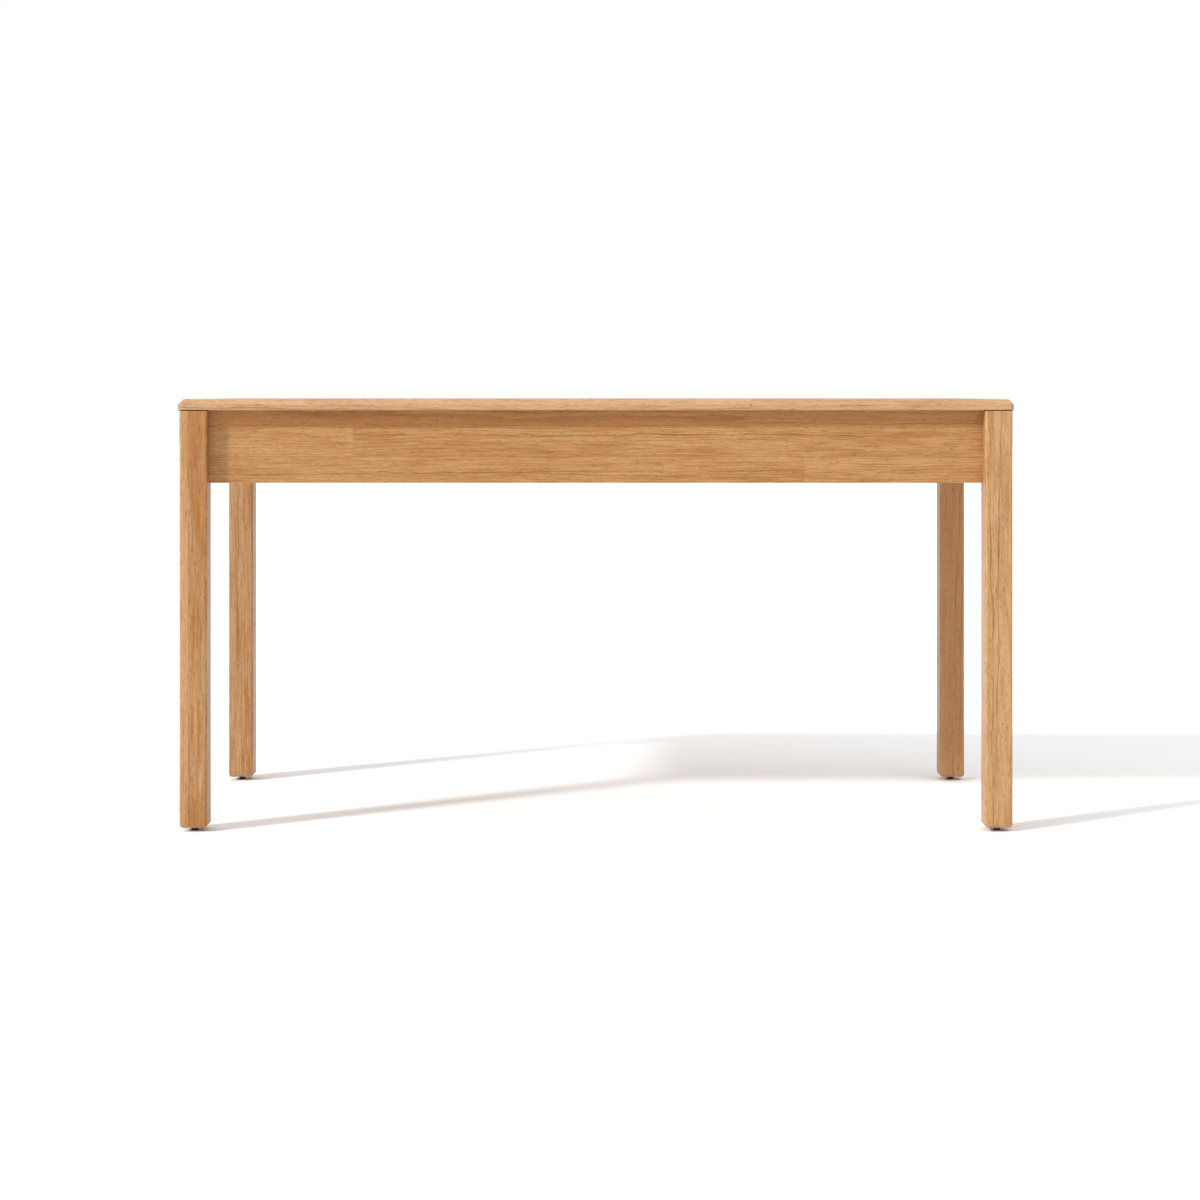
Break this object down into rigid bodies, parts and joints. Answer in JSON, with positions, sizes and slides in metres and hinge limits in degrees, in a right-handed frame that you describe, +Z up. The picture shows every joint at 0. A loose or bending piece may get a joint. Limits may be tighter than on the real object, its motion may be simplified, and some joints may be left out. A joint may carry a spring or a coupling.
{
  "type": "communion table",
  "caption": "Plain timber table with a solid bevelled top on square legs, joined by a deep apron frame and standing on screw-adjusted levelling feet.",
  "frame": {"origin": "middle of the footprint, on the floor under the levelling feet", "axes": "+X along the long side to the right seen from the front, +Y from front to back, +Z up"},
  "size_m": [1.45, 0.596, 0.75],
  "materials": {
    "top_timber": "clear satin lacquer on laminated staves",
    "apron_timber": "clear satin lacquer on laminated staves",
    "leg_timber": "clear satin lacquer on laminated posts",
    "rail_timber": "planed, unlacquered",
    "block_hardwood": "planed, unlacquered",
    "dowel_beech": "dry beech",
    "zinc_fixings": "bright zinc plate",
    "clip_steel": "pressed, zinc plated",
    "insert_zinc": "dull zinc alloy",
    "stud_steel": "bright zinc plate",
    "pad_plastic": "fine matt black"
  },
  "bodies": {
    "table": {"tabletop": "top_timber", "cross_rail": "rail_timber", "cross_rail_dowels": "dowel_beech", "cross_rail_screws": "zinc_fixings", "apron_front": "apron_timber", "top_clips_front": "clip_steel", "top_clip_screws_front": "zinc_fixings", "apron_back": "apron_timber", "top_clips_back": "clip_steel", "top_clip_screws_back": "zinc_fixings", "apron_left": "apron_timber", "top_clips_left": "clip_steel", "top_clip_screws_left": "zinc_fixings", "apron_right": "apron_timber", "top_clips_right": "clip_steel", "top_clip_screws_right": "zinc_fixings", "leg_front_left": "leg_timber", "corner_block_front_left": "block_hardwood", "block_screws_front_left": "zinc_fixings", "hanger_bolts_front_left": "zinc_fixings", "hanger_washers_front_left": "zinc_fixings", "hanger_nuts_front_left": "zinc_fixings", "apron_dowels_front_left": "dowel_beech", "foot_insert_front_left": "insert_zinc", "leg_front_right": "leg_timber", "corner_block_front_right": "block_hardwood", "block_screws_front_right": "zinc_fixings", "hanger_bolts_front_right": "zinc_fixings", "hanger_washers_front_right": "zinc_fixings", "hanger_nuts_front_right": "zinc_fixings", "apron_dowels_front_right": "dowel_beech", "foot_insert_front_right": "insert_zinc", "leg_back_left": "leg_timber", "corner_block_back_left": "block_hardwood", "block_screws_back_left": "zinc_fixings", "hanger_bolts_back_left": "zinc_fixings", "hanger_washers_back_left": "zinc_fixings", "hanger_nuts_back_left": "zinc_fixings", "apron_dowels_back_left": "dowel_beech", "foot_insert_back_left": "insert_zinc", "leg_back_right": "leg_timber", "corner_block_back_right": "block_hardwood", "block_screws_back_right": "zinc_fixings", "hanger_bolts_back_right": "zinc_fixings", "hanger_washers_back_right": "zinc_fixings", "hanger_nuts_back_right": "zinc_fixings", "apron_dowels_back_right": "dowel_beech", "foot_insert_back_right": "insert_zinc"},
    "foot_pad_front_left": {"foot_pad_front_left": "pad_plastic"},
    "foot_stud_front_left": {"foot_stud_front_left": "stud_steel"},
    "foot_pad_front_right": {"foot_pad_front_right": "pad_plastic"},
    "foot_stud_front_right": {"foot_stud_front_right": "stud_steel"},
    "foot_pad_back_left": {"foot_pad_back_left": "pad_plastic"},
    "foot_stud_back_left": {"foot_stud_back_left": "stud_steel"},
    "foot_pad_back_right": {"foot_pad_back_right": "pad_plastic"},
    "foot_stud_back_right": {"foot_stud_back_right": "stud_steel"}
  },
  "joints": [
    {"name": "foot_height_front_left", "type": "slide", "parent": "table", "child": "foot_pad_front_left", "axis": [0, 0, -1], "range_m": [0, 0.012]},
    {"name": "foot_screw_front_left", "type": "hinge", "parent": "foot_pad_front_left", "child": "foot_stud_front_left", "pos_m": [-0.698, -0.273, 0], "axis": [0, 0, -1], "range_deg": [0, 4321]},
    {"name": "foot_height_front_right", "type": "slide", "parent": "table", "child": "foot_pad_front_right", "axis": [0, 0, -1], "range_m": [0, 0.012]},
    {"name": "foot_screw_front_right", "type": "hinge", "parent": "foot_pad_front_right", "child": "foot_stud_front_right", "pos_m": [0.698, -0.273, 0], "axis": [0, 0, -1], "range_deg": [0, 4321]},
    {"name": "foot_height_back_left", "type": "slide", "parent": "table", "child": "foot_pad_back_left", "axis": [0, 0, -1], "range_m": [0, 0.012]},
    {"name": "foot_screw_back_left", "type": "hinge", "parent": "foot_pad_back_left", "child": "foot_stud_back_left", "pos_m": [-0.698, 0.273, 0], "axis": [0, 0, -1], "range_deg": [0, 4321]},
    {"name": "foot_height_back_right", "type": "slide", "parent": "table", "child": "foot_pad_back_right", "axis": [0, 0, -1], "range_m": [0, 0.012]},
    {"name": "foot_screw_back_right", "type": "hinge", "parent": "foot_pad_back_right", "child": "foot_stud_back_right", "pos_m": [0.698, 0.273, 0], "axis": [0, 0, -1], "range_deg": [0, 4321]}
  ],
  "couplings": [
    {"joint": "foot_screw_front_left", "follows": "foot_height_front_left", "rad_per_m": 6283.2},
    {"joint": "foot_screw_front_right", "follows": "foot_height_front_right", "rad_per_m": 6283.2},
    {"joint": "foot_screw_back_left", "follows": "foot_height_back_left", "rad_per_m": 6283.2},
    {"joint": "foot_screw_back_right", "follows": "foot_height_back_right", "rad_per_m": 6283.2}
  ]
}
